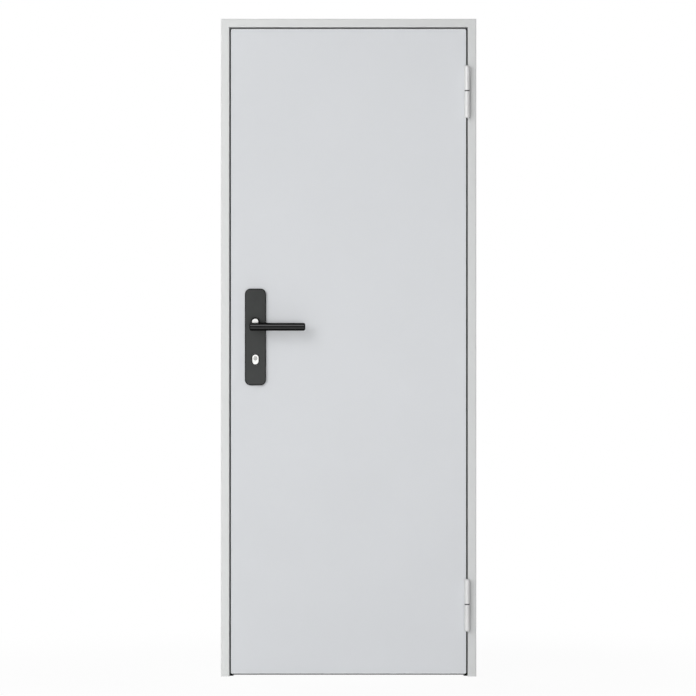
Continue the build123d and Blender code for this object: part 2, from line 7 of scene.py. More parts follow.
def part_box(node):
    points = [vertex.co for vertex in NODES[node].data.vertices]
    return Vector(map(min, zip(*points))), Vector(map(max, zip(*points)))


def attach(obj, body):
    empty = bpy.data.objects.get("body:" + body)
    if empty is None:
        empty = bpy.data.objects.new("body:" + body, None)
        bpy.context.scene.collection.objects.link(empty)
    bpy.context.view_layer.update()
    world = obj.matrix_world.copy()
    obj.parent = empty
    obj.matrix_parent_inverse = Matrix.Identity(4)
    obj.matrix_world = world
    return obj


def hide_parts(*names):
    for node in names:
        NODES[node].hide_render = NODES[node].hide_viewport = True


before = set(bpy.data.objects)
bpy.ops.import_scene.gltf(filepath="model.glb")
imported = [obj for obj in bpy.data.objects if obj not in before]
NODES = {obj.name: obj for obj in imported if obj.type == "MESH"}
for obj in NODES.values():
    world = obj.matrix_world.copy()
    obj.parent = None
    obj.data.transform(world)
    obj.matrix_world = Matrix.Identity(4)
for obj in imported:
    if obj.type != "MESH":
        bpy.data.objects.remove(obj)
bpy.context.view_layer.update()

# Finishes, as linear colours
LEAF_PAINT = (0.690, 0.706, 0.728)
FRAME_PAINT = (0.740, 0.750, 0.744)
# The frame's colour at the hinge jamb: painted shade, darker towards that side
FRAME_PAINT_SHADED_HINGE_SIDE = (0.655, 0.664, 0.662)
PAINT_BLOTCH = (0.985, 0.985, 0.985)
CHARCOAL = (0.024, 0.026, 0.025)
# Near-black for the backplates' rolled edges: painted shade
CHARCOAL_RIM_PAINTED_SHADE = (0.008, 0.008, 0.008)
LEVER_BLACK = (0.003, 0.003, 0.003)
# Painted highlight on the flats of the lever grips
LEVER_PAINTED_HIGHLIGHT = (0.108, 0.109, 0.111)
HINGE_STEEL = (0.70, 0.70, 0.70)
RING_STEEL = (0.07, 0.07, 0.072)
CAP_METAL = (0.74, 0.74, 0.73)
CYLINDER_METAL = (0.78, 0.78, 0.76)
PLUG_METAL = (0.42, 0.42, 0.41)
LOCK_STEEL = (0.42, 0.42, 0.42)
ZINC = (0.42, 0.44, 0.46)
RUBBER = (0.012, 0.012, 0.013)
GRAPHITE = (0.035, 0.036, 0.038)
WOOL = (0.46, 0.37, 0.17)
BARE_STEEL = (0.50, 0.50, 0.50)
WHITE = (1.0, 1.0, 1.0)

# Wear on sharp edges: how alike the rounded and the real direction of the surface are where the wear is
# full and where it ends, and the noise that breaks it up
WEAR_BEND = (0.90, 0.995)
WEAR_NOISE = 260.0
WEAR_PATCH = (0.42, 0.62)

# Brushed steel: the noise's scale along the lines, and how far the roughness strays down and up
BRUSH_STRETCH = 0.04
BRUSH_SMOOTHER = 0.06
BRUSH_ROUGHER = 0.08

# Painted highlight on the grip: how squarely a face looks to the front or back where it starts and is full,
# how far behind the grip's face it does so, and its strength at shares of the grip's height
HIGHLIGHT_FACING = (0.86, 0.99)
HIGHLIGHT_START = 0.0015
HIGHLIGHT_FULL = 0.0004
HIGHLIGHT_BANDS = (
    (0.22, 0.0), (0.27, 0.36), (0.48, 0.24), (0.51, 0.02),
    (0.60, 0.02), (0.63, 1.0), (0.74, 1.0), (0.77, 0.0),
)

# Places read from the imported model, in metres
lock_low, lock_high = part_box("lock_jamb")
hinge_low, hinge_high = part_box("hinge_jamb")
plate_low, plate_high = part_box("front_backplate")
rear_plate_low, rear_plate_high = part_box("rear_backplate")
lever_low, lever_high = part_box("front_lever")
cap_low, cap_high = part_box("front_hub_cap")
cylinder_low, cylinder_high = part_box("lock_cylinder")
forend_low, forend_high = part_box("lock_forend")
strike_low, strike_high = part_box("strike_plate")
anchor_low, anchor_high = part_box("hinge_wall_anchors")
foot_low, foot_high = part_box("hinge_foot_plate")
leaf_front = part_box("leaf_front_skin")[0].y
leaf_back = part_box("leaf_back_skin")[1].y

CENTRE_X = (lock_low.x + hinge_high.x) / 2
FRONT_Y = hinge_low.y
SPINDLE_X = (cap_low.x + cap_high.x) / 2
SPINDLE_Z = (cap_low.z + cap_high.z) / 2
LEAF_MIDDLE_Y = (leaf_front + leaf_back) / 2
PLATE_TOP_Y = plate_low.y
PLATE_FOOT_Y = plate_high.y
CYLINDER_X = (cylinder_low.x + cylinder_high.x) / 2
CYLINDER_Z = (cylinder_low.z + cylinder_high.z) / 2

# Backplates
PLATE_CORNER = 0.0175
PLATE_ROLL = 0.0035
ROLL_STEPS = 8
FACE_FLATNESS = 0.96
HUB_RECESS_R = 0.0138
HUB_RECESS = 0.003
SPINDLE_HOLE_R = 0.007
SPINDLE_HOLE_CUT = 0.03
RIM_WIDTH = 0.025
RIM_TALL = 0.036
RIM_CUT_PAST = 0.01

# Levers
HUB_R = 0.0135
HUB_SEAT = 0.0003
HUB_EDGE = 0.0011
HUB_EDGE_SHARE = 0.3
CAP_R = 0.0098
CAP_FIT = 0.0001
CAP_SUNK = 0.002
CAP_CUT_LEAD = 0.008
GRIP_FRONT_Y = lever_low.y
GRIP_TALL = 0.0244
GRIP_DEEP = 0.016
GRIP_DROP = 0.0157
GRIP_Y = GRIP_FRONT_Y + GRIP_DEEP / 2
GRIP_Z = SPINDLE_Z - GRIP_DROP
GRIP_POWER = 3.6
GRIP_CORNER = 0.0055
GRIP_END_THINNING = 1.2
GRIP_AROUND = 64
GRIP_END_STEPS = 7
GRIP_STEPS = 24
GROOVE = 0.0036
GROOVE_DEPTH = 0.0022
GROOVE_LIFT = 0.0011
GROOVE_MARGIN = 0.011
GROOVE_EASE = 0.004
NECK_BACK = 0.014
NECK_RISE = 0.002
NECK_ROOT = 0.014
NECK_TALL = 0.018
NECK_WIDTH = 0.018
NECK_SUNK = 0.008
NECK_EDGE = 0.003
LEVER_VOXEL = 0.00055
LEVER_SMOOTHINGS = 6
LEVER_SMOOTHING = 0.5

# Black rings of painted shadow round the cylinder, and key plugs
HAIR = 1e-5
SHADOW_RING_GAP = 0.0004
SHADOW_RING_SUNK = 0.0022
SHADOW_RING_SHORT = 0.0005
SHADOW_RING_CUT_PAST = 0.005
PLUG_R = 0.0066
PLUG_RISE = 0.004
PLUG_SUNK = 0.0004
PLUG_PROUD = 0.0004
PLUG_WALL = 0.0006
PLUG_EDGE = 0.0004
KEY_SLOT = (0.0026, 0.0102)
KEY_SLOT_DEPTH = 0.003

# Screws: the head's shape is in shares of its radius and heights above its foot
SCREW_R = 0.0036
SCREW_TALL = 0.0008
SCREW_SHAPE = ((0.7, 0.0), (1.0, 0.0004), (0.94, 0.00062), (0.6, SCREW_TALL))
SCREW_PROUD = 0.0006
SOCKET_R = 0.0017
SOCKET_DEEP = 0.0012
SOCKET_CUT_PAST = 0.003
SOCKET_LOBES = 6
SOCKET_LOBE = 0.18
SOCKET_STEPS = 36
FOREND_SCREW_INSET = 0.012
STRIKE_SCREW_INSET = 0.009
PLATE_SCREW_INSET = 0.022

# Caps in the wall bolt holes: the head's shape is in shares of its radius and heights above the reveal
HALF_STRAP = 0.02
ACCESS_PLUG_R = 0.0086
ACCESS_PLUG_DEEP = 0.006
ACCESS_TIP = 0.0008
ACCESS_TIP_LENGTH = 0.001
ACCESS_CAP_R = 0.0112
ACCESS_CAP_SHAPE = ((1.0, 0.0), (1.0, 0.0006), (0.86, 0.0013), (0.5, 0.0016))

# The camera: how wide it sees at the front face, and its place, in metres, with the sensor in millimetres
VIEW_WIDTH = 2.18
CAMERA_DISTANCE = 12.0
CAMERA_HEIGHT = 1.029
CAMERA_OFFSET = -0.0017
CAMERA_REACH = 100.0
SENSOR = 36.0

# The studio: the lights' places are in metres from the middle of the front face, at the floor
KEY_PLACE = (-4.6, -7.8, 4.2)
KEY_SIZE = (6.5, 6.5)
KEY_POWER = 398.0
FILL_PLACE = (0.4, -5.0, 0.3)
FILL_SIZE = (3.0, 1.2)
FILL_POWER = 72.0
BACK_PLACE = (-2.5, 6.0, 3.5)
BACK_SIZE = (3.0, 3.0)
BACK_POWER = 190.0
AMBIENT = 0.44
AMBIENT_RIGHTWARD = -0.34
AMBIENT_UPWARD = -0.20
FLOOR_ALBEDO = 0.90
FLOOR_GLOW = 0.95
FLOOR_SIDE = 60.0
SHADOW_REACH = 2.2
SHADOW_CORE = SHADOW_REACH / 3


class Tree:
    """A node tree, emptied, with short calls that add nodes and link them."""

    def __init__(self, tree):
        self.tree = tree
        self.tree.nodes.clear()

    def add(self, kind, **settings):
        node = self.tree.nodes.new(kind)
        for key, value in settings.items():
            setattr(node, key, value)
        return node

    def link(self, start, output, end, entry):
        self.tree.links.new(start.outputs[output], end.inputs[entry])

    def product(self, first, first_output, second, second_output):
        """One value times another."""
        node = self.add("ShaderNodeMath", operation="MULTIPLY")
        self.link(first, first_output, node, 0)
        self.link(second, second_output, node, 1)
        return node

    def size_of(self, source, output):
        """A value without its sign."""
        node = self.add("ShaderNodeMath", operation="ABSOLUTE")
        self.link(source, output, node, 0)
        return node


class Finish(Tree):
    """A material's node tree, with the patterns that the finishes are made of."""

    def __init__(self, name):
        self.material = bpy.data.materials.new(name)
        self.material.use_nodes = True
        super().__init__(self.material.node_tree)
        out = self.add("ShaderNodeOutputMaterial")
        self.shader = self.add("ShaderNodeBsdfPrincipled")
        self.link(self.shader, "BSDF", out, "Surface")
        self.place = self.add("ShaderNodeTexCoord")

    def axes(self, output):
        """The object's own coordinates, or its normal, split into X, Y and Z."""
        node = self.add("ShaderNodeSeparateXYZ")
        self.link(self.place, output, node, "Vector")
        return node

    def noise(self, scale, detail=2.0, roughness=0.5, stretch=(1, 1, 1)):
        """Soft noise, which a stretch under one on an axis draws out along it."""
        mapping = self.add("ShaderNodeMapping")
        mapping.inputs["Scale"].default_value = stretch
        self.link(self.place, "Object", mapping, "Vector")
        node = self.add("ShaderNodeTexNoise")
        node.inputs["Scale"].default_value = scale
        node.inputs["Detail"].default_value = detail
        node.inputs["Roughness"].default_value = roughness
        self.link(mapping, "Vector", node, "Vector")
        return node

    def cells(self, scale):
        """Small cells, each with a colour of its own."""
        node = self.add("ShaderNodeTexVoronoi")
        node.inputs["Scale"].default_value = scale
        self.link(self.place, "Object", node, "Vector")
        return node

    def spread(self, source, output, low=0.0, high=1.0, start=0.3, end=0.7):
        """A value's range from start to end, stretched from low to high."""
        node = self.add("ShaderNodeMapRange")
        node.inputs["From Min"].default_value = start
        node.inputs["From Max"].default_value = end
        node.inputs["To Min"].default_value = low
        node.inputs["To Max"].default_value = high
        self.link(source, output, node, "Value")
        return node

    def tint(self, source, output, dark, light):
        """A mix of two colours by a factor from nought to one."""
        node = self.add("ShaderNodeMix", data_type="RGBA")
        node.inputs["A"].default_value = (*dark, 1)
        node.inputs["B"].default_value = (*light, 1)
        self.link(source, output, node, "Factor")
        return node

    def over(self, base, mask, output, color):
        """A base with one colour laid over it where a mask says."""
        node = self.add("ShaderNodeMix", data_type="RGBA")
        self.link(mask, output, node, "Factor")
        self.link(base, "Result", node, "A")
        node.inputs["B"].default_value = (*color, 1)
        return node

    def worn_edges(self, radius, strength):
        """A mask that reaches its strength on sharp edges, is nought on flats and is broken up by noise."""
        bevel = self.add("ShaderNodeBevel", samples=4)
        bevel.inputs["Radius"].default_value = radius
        here = self.add("ShaderNodeNewGeometry")
        likeness = self.add("ShaderNodeVectorMath", operation="DOT_PRODUCT")
        self.link(bevel, "Normal", likeness, 0)
        self.link(here, "Normal", likeness, 1)
        edge, flat = WEAR_BEND
        bent = self.spread(likeness, "Value", low=strength, high=0.0, start=edge, end=flat)
        bare, full = WEAR_PATCH
        patch = self.spread(self.noise(WEAR_NOISE, detail=3.0), "Fac", start=bare, end=full)
        return self.product(bent, "Result", patch, "Result")

    def painted_highlight(self):
        """A mask of painted highlight on the grip's front and back flats: strong above the groove, weaker
        below it.
        """
        facing, square = HIGHLIGHT_FACING
        flats = self.spread(self.size_of(self.axes("Normal"), "Y"), "Value", start=facing, end=square)
        here = self.axes("Object")
        height = self.spread(here, "Z", start=GRIP_Z - GRIP_TALL / 2, end=GRIP_Z + GRIP_TALL / 2)
        bands = self.add("ShaderNodeValToRGB")
        self.link(height, "Result", bands, "Fac")
        bands.color_ramp.elements[0].color = (0, 0, 0, 1)
        bands.color_ramp.elements[1].color = (0, 0, 0, 1)
        for place, share in HIGHLIGHT_BANDS:
            stop = bands.color_ramp.elements.new(place)
            stop.color = (share, share, share, 1)
        depth = self.add("ShaderNodeMath", operation="SUBTRACT")
        self.link(here, "Y", depth, 0)
        depth.inputs[1].default_value = LEAF_MIDDLE_Y
        reach = self.size_of(depth, "Value")
        face = LEAF_MIDDLE_Y - GRIP_FRONT_Y
        outer = self.spread(reach, "Value", start=face - HIGHLIGHT_START, end=face - HIGHLIGHT_FULL)
        banded = self.product(flats, "Result", bands, "Color")
        return self.product(banded, "Value", outer, "Result")

    def bump(self, source, output, distance, below=None):
        """Fine relief in the shading, on top of another relief if there is one below."""
        node = self.add("ShaderNodeBump")
        node.inputs["Distance"].default_value = distance
        self.link(source, output, node, "Height")
        if below:
            self.link(below, "Normal", node, "Normal")
        return node

    def paint(self, source):
        self.link(source, "Result", self.shader, "Base Color")

    def rough(self, source):
        self.link(source, "Result", self.shader, "Roughness")

    def normal(self, bump):
        self.link(bump, "Normal", self.shader, "Normal")


def shaded(color, factor):
    """A colour made darker or lighter by a factor."""
    return tuple(min(1.0, part * factor) for part in color)


def powder_coat(name, color, painted_shade_color):
    """Satin powder coat: fine orange peel, faint blotches, rubbed edges and painted shade on the hinge
    side.
    """
    coat = Finish(name)
    blotch = coat.noise(scale=3.5, detail=3.0)
    speck = coat.noise(scale=900.0, detail=1.0)
    peel = coat.noise(scale=420.0, roughness=0.4)
    # Painted shade: from the lock jamb to the hinge jamb the colour goes over to the shaded one
    across = coat.spread(coat.axes("Object"), "X", start=lock_low.x, end=hinge_high.x)
    tone = coat.spread(blotch, "Fac", start=0.35, end=0.65)
    base = coat.add("ShaderNodeMix", data_type="RGBA", blend_type="MULTIPLY")
    base.inputs["Factor"].default_value = 1.0
    coat.link(coat.tint(across, "Result", color, painted_shade_color), "Result", base, "A")
    coat.link(coat.tint(tone, "Result", PAINT_BLOTCH, WHITE), "Result", base, "B")
    worn = coat.worn_edges(radius=0.0009, strength=0.35)
    coat.paint(coat.over(base, worn, "Value", shaded(color, 1.12)))
    coat.rough(coat.spread(speck, "Fac", low=0.40, high=0.50))
    fine = coat.bump(speck, "Fac", distance=0.00003)
    coat.normal(coat.bump(peel, "Fac", distance=0.00006, below=fine))
    coat.shader.inputs["Specular IOR Level"].default_value = 0.4
    return coat.material


def brushed_steel(name, color, along, roughness, metallic=1.0, sheen=0.5):
    """Steel brushed along one axis, with faint long scratches and brighter edges."""
    steel = Finish(name)
    stretch = tuple(BRUSH_STRETCH if axis == along else 1.0 for axis in "XYZ")
    lines = steel.noise(scale=1400.0, detail=3.0, roughness=0.6, stretch=stretch)
    base = steel.tint(steel.spread(lines, "Fac"), "Result", shaded(color, 0.90), shaded(color, 1.08))
    worn = steel.worn_edges(radius=0.0006, strength=0.6)
    steel.paint(steel.over(base, worn, "Value", shaded(color, 1.25)))
    steel.rough(steel.spread(lines, "Fac", low=roughness - BRUSH_SMOOTHER, high=roughness + BRUSH_ROUGHER))
    steel.normal(steel.bump(lines, "Fac", distance=0.00002))
    steel.shader.inputs["Metallic"].default_value = metallic
    steel.shader.inputs["Specular IOR Level"].default_value = sheen
    return steel.material


def galvanised(name, color):
    """Hot-dip zinc: soft spangle, dull patches and a slightly uneven skin."""
    zinc = Finish(name)
    spangle = zinc.cells(scale=170.0)
    patch = zinc.noise(scale=22.0, detail=4.0)
    tone = zinc.spread(spangle, "Color", start=0.0, end=1.0)
    base = zinc.tint(tone, "Result", shaded(color, 0.80), shaded(color, 1.12))
    dull = zinc.spread(patch, "Fac", high=0.5)
    zinc.paint(zinc.over(base, dull, "Result", shaded(color, 0.85)))
    zinc.rough(zinc.spread(patch, "Fac", low=0.38, high=0.60))
    zinc.normal(zinc.bump(spangle, "Distance", distance=0.00005))
    zinc.shader.inputs["Metallic"].default_value = 0.85
    return zinc.material


def charcoal(name, color, sheen):
    """Fine-textured dark coating on the backplates, with rubbed edges."""
    coat = Finish(name)
    cloud = coat.noise(scale=30.0, detail=3.0)
    grain = coat.noise(scale=2600.0)
    base = coat.tint(coat.spread(cloud, "Fac"), "Result", shaded(color, 0.92), shaded(color, 1.08))
    worn = coat.worn_edges(radius=0.0008, strength=0.7)
    coat.paint(coat.over(base, worn, "Value", shaded(color, 1.8)))
    coat.rough(coat.spread(grain, "Fac", low=0.34, high=0.46))
    coat.normal(coat.bump(grain, "Fac", distance=0.00003))
    coat.shader.inputs["Specular IOR Level"].default_value = sheen
    return coat.material


def gloss_black(name, color):
    """Black lacquer on the levers, with a painted highlight along the flats of the grip."""
    lacquer = Finish(name)
    ripple = lacquer.noise(scale=55.0)
    grain = lacquer.noise(scale=3200.0)
    tone = lacquer.spread(ripple, "Fac")
    base = lacquer.tint(tone, "Result", shaded(color, 0.85), shaded(color, 1.3))
    # Painted highlight: the grip's flats go lighter where the mask says
    lacquer.paint(lacquer.over(base, lacquer.painted_highlight(), "Value", LEVER_PAINTED_HIGHLIGHT))
    lacquer.rough(lacquer.spread(grain, "Fac", low=0.20, high=0.30))
    waves = lacquer.bump(ripple, "Fac", distance=0.0001)
    lacquer.normal(lacquer.bump(grain, "Fac", distance=0.00001, below=waves))
    lacquer.shader.inputs["Specular IOR Level"].default_value = 0.03
    return lacquer.material


def moulded_plastic(name, color):
    """Moulded plastic with a fine spark-eroded grain."""
    plastic = Finish(name)
    grain = plastic.noise(scale=1600.0, detail=3.0)
    cloud = plastic.noise(scale=25.0)
    tone = plastic.spread(cloud, "Fac")
    plastic.paint(plastic.tint(tone, "Result", shaded(color, 0.93), shaded(color, 0.99)))
    plastic.rough(plastic.spread(grain, "Fac", low=0.45, high=0.6))
    plastic.normal(plastic.bump(grain, "Fac", distance=0.00004))
    return plastic.material


def rubber(name, color):
    """Black sealing rubber with a fine matt skin and a little bloom, also the black of the painted shadow
    rings.
    """
    skin = Finish(name)
    grain = skin.noise(scale=1800.0)
    bloom = skin.noise(scale=40.0, detail=4.0)
    skin.paint(skin.tint(skin.spread(bloom, "Fac"), "Result", color, shaded(color, 2.0)))
    skin.rough(skin.spread(grain, "Fac", low=0.62, high=0.82))
    skin.normal(skin.bump(grain, "Fac", distance=0.00004))
    skin.shader.inputs["Specular IOR Level"].default_value = 0.1
    return skin.material


def graphite_strip(name, color):
    """The strip that swells in a fire: dark graphite with a grain of small flakes."""
    strip = Finish(name)
    flakes = strip.cells(scale=1500.0)
    tone = strip.spread(flakes, "Color", start=0.0, end=1.0)
    strip.paint(strip.tint(tone, "Result", shaded(color, 0.7), shaded(color, 1.6)))
    strip.rough(strip.spread(flakes, "Distance", low=0.35, high=0.6, start=0.0, end=0.6))
    strip.normal(strip.bump(flakes, "Distance", distance=0.00006))
    return strip.material


def mineral_wool(name, color):
    """Pressed mineral wool: fine tangled fibres with darker flecks."""
    wool = Finish(name)
    fibres = wool.noise(scale=500.0, detail=6.0, roughness=0.7, stretch=(1.0, 1.0, 0.12))
    flecks = wool.noise(scale=120.0, detail=3.0)
    base = wool.tint(wool.spread(fibres, "Fac"), "Result", shaded(color, 0.62), shaded(color, 1.2))
    dark = wool.spread(flecks, "Fac", high=0.5, start=0.5, end=0.7)
    wool.paint(wool.over(base, dark, "Result", shaded(color, 0.5)))
    wool.rough(wool.spread(fibres, "Fac", low=0.85, high=1.0))
    wool.normal(wool.bump(fibres, "Fac", distance=0.0008))
    return wool.material


def dress(material, *names):
    """Puts one finish on CAD nodes."""
    for name in names:
        node = NODES[name]
        node.data.materials.clear()
        node.data.materials.append(material)
        for face in node.data.polygons:
            face.material_index = 0


def hinge_parts(part):
    """The names that one part has in the lower and the upper hinge."""
    return [f"{level}_hinge_{part}" for level in ("lower", "upper")]


def dress_frame():
    """Finishes of the CAD nodes."""
    dress(powder_coat("frame_coat_painted_shade", FRAME_PAINT, FRAME_PAINT_SHADED_HINGE_SIDE), "hinge_jamb", "lock_jamb", "head")
    dress(powder_coat("leaf_coat", LEAF_PAINT, LEAF_PAINT), "leaf_front_skin", "leaf_back_skin")
    zinc = galvanised("zinc", ZINC)
    dress(zinc, "hinge_foot_plate", "lock_foot_plate", "hinge_wall_anchors", "lock_wall_anchors")
    dress(zinc, "strike_box", "lock_case")
    lock_steel = brushed_steel("lock_steel", LOCK_STEEL, "Z", roughness=0.34)
    dress(lock_steel, "strike_plate", "lock_forend", "latch_bolt", "dead_bolt")
    dress(brushed_steel("turned_steel", BARE_STEEL, "X", roughness=0.30), "dog_bolts", "spindle")
    hinge_steel = brushed_steel("hinge_steel", HINGE_STEEL, "Z", roughness=0.34, metallic=0.06, sheen=0.9)
    dress(hinge_steel, *hinge_parts("frame_half"), *hinge_parts("leaf_half"))
    dress(brushed_steel("pin_steel", BARE_STEEL, "Z", roughness=0.28), *hinge_parts("pin"))
    dress(brushed_steel("ring_steel", RING_STEEL, "Z", roughness=0.4, metallic=0.8), *hinge_parts("ring"))
    seal_and_shadow_rubber = rubber("seal_rubber", RUBBER)
    dress(seal_and_shadow_rubber, "hinge_smoke_gasket", "lock_smoke_gasket", "head_smoke_gasket", "bottom_seal")
    graphite = graphite_strip("fire_graphite", GRAPHITE)
    dress(graphite, "hinge_fire_strip", "lock_fire_strip", "head_fire_strip")
    dress(mineral_wool("wool_board", WOOL), "leaf_core")
    cap_satin = brushed_steel("cap_satin", CAP_METAL, "X", roughness=0.35, metallic=0.2)
    dress(cap_satin, "front_hub_cap", "rear_hub_cap")
    cylinder_satin = brushed_steel("cylinder_satin", CYLINDER_METAL, "Z", roughness=0.35, metallic=0.2)
    dress(cylinder_satin, "lock_cylinder")


def new_piece(name, mesh, material, body):
    """Links a mesh as a piece on a body and, unless it has its own, gives it a material."""
    piece = bpy.data.objects.new(name, mesh)
    bpy.context.scene.collection.objects.link(piece)
    if not mesh.materials:
        mesh.materials.append(material)
    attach(piece, body)
    return piece


def rounded_outline(width, tall, corner, steps=10):
    """Points round a rectangle with round corners, as pairs of x and z about its middle."""
    points = []
    for turn, (right, up) in enumerate([(1, 1), (-1, 1), (-1, -1), (1, -1)]):
        centre = (right * (width / 2 - corner), up * (tall / 2 - corner))
        for i in range(steps + 1):
            angle = math.pi / 2 * (turn + i / steps)
            points.append((centre[0] + corner * math.cos(angle), centre[1] + corner * math.sin(angle)))
    return points


def round_ended(width, tall, steps=10):
    """An upright outline with round ends, whose two quarters stay a hair apart so that no points meet."""
    return rounded_outline(width, tall, width / 2 - HAIR, steps)


def upright_ring(outline, x, y, z):
    """An outline's points at one depth, about a middle."""
    return [Vector((x + right, y, z + up)) for right, up in outline]


def ring_round(centre, way, radii):
    """Points round a centre, square to a direction, one for each radius."""
    side = way.orthogonal().normalized()
    other = way.cross(side)
    ring = []
    for i, radius in enumerate(radii):
        angle = 2 * math.pi * i / len(radii)
        ring.append(centre + side * radius * math.cos(angle) + other * radius * math.sin(angle))
    return ring


def loft(rings, name):
    """A closed mesh through rings of points, with a flat face at each end."""
    mesh = bmesh.new()
    loops = [[mesh.verts.new(point) for point in ring] for ring in rings]
    for lower, upper in zip(loops, loops[1:]):
        count = len(lower)
        for i in range(count):
            j = (i + 1) % count
            mesh.faces.new((lower[i], lower[j], upper[j], upper[i]))
    mesh.faces.new(loops[0][::-1])
    mesh.faces.new(loops[-1])
    bmesh.ops.recalc_face_normals(mesh, faces=mesh.faces)
    data = bpy.data.meshes.new(name)
    mesh.to_mesh(data)
    mesh.free()
    return data


def prism(outline, x, z, depths, name):
    """A closed mesh that pushes an upright outline from one depth to another."""
    return loft([upright_ring(outline, x, y, z) for y in depths], name)


def turned(profile, start, along, name, steps=48):
    """A closed turned mesh: profile pairs are a radius and a distance along a unit direction."""
    way = Vector(along)
    rings = []
    for radius, distance in profile:
        rings.append(ring_round(Vector(start) + way * distance, way, [radius] * steps))
    return loft(rings, name)


def spindle_bar(radius, y, length, name, steps=48):
    """A round bar on the spindle's axis, from one depth towards the back."""
    return turned([(radius, 0), (radius, length)], (SPINDLE_X, y, SPINDLE_Z), (0, 1, 0), name, steps)


def carrier(mesh):
    """A passing object that holds a mesh while its modifiers work."""
    holder = bpy.data.objects.new("carrier", mesh)
    bpy.context.scene.collection.objects.link(holder)
    return holder


def modified(holder):
    """The mesh that an object's modifiers make."""
    depsgraph = bpy.context.evaluated_depsgraph_get()
    return bpy.data.meshes.new_from_object(holder.evaluated_get(depsgraph))


def cut(mesh, *cutters):
    """The mesh with other closed meshes taken away, and no finish on it yet."""
    blank = carrier(mesh)
    for cutter in cutters:
        tool = carrier(cutter)
        step = blank.modifiers.new("cut", "BOOLEAN")
        step.operation = "DIFFERENCE"
        step.solver = "EXACT"
        step.object = tool
        result = modified(blank)
        blank.modifiers.clear()
        blank.data = result
        bpy.data.objects.remove(tool)
    result = blank.data
    bpy.data.objects.remove(blank)
    result.materials.clear()
    return result


def smooth(mesh, degrees):
    """Smooth shading, with edges above an angle kept sharp."""
    mesh.polygons.foreach_set("use_smooth", [True] * len(mesh.polygons))
    mesh.set_sharp_from_angle(angle=math.radians(degrees))
    return mesh


def to_the_back(mesh, name):
    """The same mesh on the back of the leaf."""
    copy = mesh.copy()
    copy.name = name
    copy.transform(Matrix.Translation((0, 2 * LEAF_MIDDLE_Y, 0)) @ Matrix.Scale(-1, 4, (0, 1, 0)))
    copy.flip_normals()
    return copy


def backplate_mesh():
    """The long plate: flat face, rolled edge, hub recess, spindle hole and cylinder opening."""
    width = plate_high.x - plate_low.x
    tall = plate_high.z - plate_low.z
    x = (plate_low.x + plate_high.x) / 2
    z = (plate_low.z + plate_high.z) / 2
    profile = [(0.0, PLATE_FOOT_Y), (0.0, PLATE_TOP_Y + PLATE_ROLL)]
    for i in range(1, ROLL_STEPS + 1):
        angle = math.pi / 2 * i / ROLL_STEPS
        inset = PLATE_ROLL * (1 - math.cos(angle))
        profile.append((inset, PLATE_TOP_Y + PLATE_ROLL * (1 - math.sin(angle))))
    rings = []
    for inset, y in profile:
        outline = rounded_outline(width - 2 * inset, tall - 2 * inset, PLATE_CORNER - inset)
        rings.append(upright_ring(outline, x, y, z))
    blank = loft(rings, "backplate_blank")
    start = PLATE_TOP_Y - HUB_RECESS
    hub = spindle_bar(HUB_RECESS_R, start, 2 * HUB_RECESS, "hub_cutter")
    hole = spindle_bar(SPINDLE_HOLE_R, start, SPINDLE_HOLE_CUT, "hole_cutter")
    depths = (PLATE_TOP_Y - RIM_CUT_PAST, PLATE_FOOT_Y + RIM_CUT_PAST)
    slot = prism(round_ended(RIM_WIDTH, RIM_TALL), CYLINDER_X, CYLINDER_Z, depths, "slot_cutter")
    return smooth(cut(blank, hub, hole, slot), degrees=30)


def hub_mesh():
    """The round hub, from its seat in the plate out to the cap's face, with a soft front edge."""
    back = PLATE_TOP_Y + HUB_RECESS - HUB_SEAT
    reach = back - cap_low.y
    bend = HUB_EDGE_SHARE * HUB_EDGE
    profile = [(HUB_R, 0), (HUB_R, reach - HUB_EDGE)]
    profile += [(HUB_R - bend, reach - bend), (HUB_R - HUB_EDGE, reach)]
    return turned(profile, (SPINDLE_X, back, SPINDLE_Z), (0, -1, 0), "hub")


def neck_mesh():
    """The flat-sided neck from the hub out to the grip, with soft long edges."""
    back = (FRONT_Y - NECK_BACK, SPINDLE_Z + NECK_RISE - NECK_ROOT / 2, NECK_ROOT)
    front = (GRIP_FRONT_Y + NECK_SUNK, GRIP_Z, NECK_TALL)
    rings = []
    for y, z, tall in (back, front):
        outline = rounded_outline(NECK_WIDTH, tall, NECK_EDGE, steps=4)
        rings.append(upright_ring(outline, SPINDLE_X, y, z))
    return loft(rings, "neck")


def filled_out(share):
    """A sine or cosine pushed towards one, which fills out the corners of an oval."""
    return math.copysign(abs(share) ** (2 / GRIP_POWER), share)


def grip_ring(x, tall, deep, groove):
    """One cross-section of the grip: a soft-cornered oval, with the groove's hollow in its front."""
    ring = []
    for i in range(GRIP_AROUND):
        angle = 2 * math.pi * i / GRIP_AROUND
        y = -deep / 2 * filled_out(math.cos(angle))
        z = tall / 2 * filled_out(math.sin(angle))
        lift = z - GROOVE_LIFT
        if math.cos(angle) > 0 and abs(lift) < GROOVE / 2:
            y += groove * math.cos(math.pi * lift / GROOVE) ** 2
        ring.append(Vector((x, GRIP_Y + y, GRIP_Z + z)))
    return ring


def grip_stations(length):
    """Places along the grip, each with the inset that rounds its ends."""
    ends = []
    for i in range(GRIP_END_STEPS):
        angle = math.pi / 2 * i / GRIP_END_STEPS
        ends.append((GRIP_CORNER * (1 - math.cos(angle)), GRIP_CORNER * (1 - math.sin(angle))))
    stations = list(ends)
    for i in range(GRIP_STEPS + 1):
        stations.append((GRIP_CORNER + (length - 2 * GRIP_CORNER) * i / GRIP_STEPS, 0.0))
    for along, inset in reversed(ends):
        stations.append((length - along, inset))
    return stations


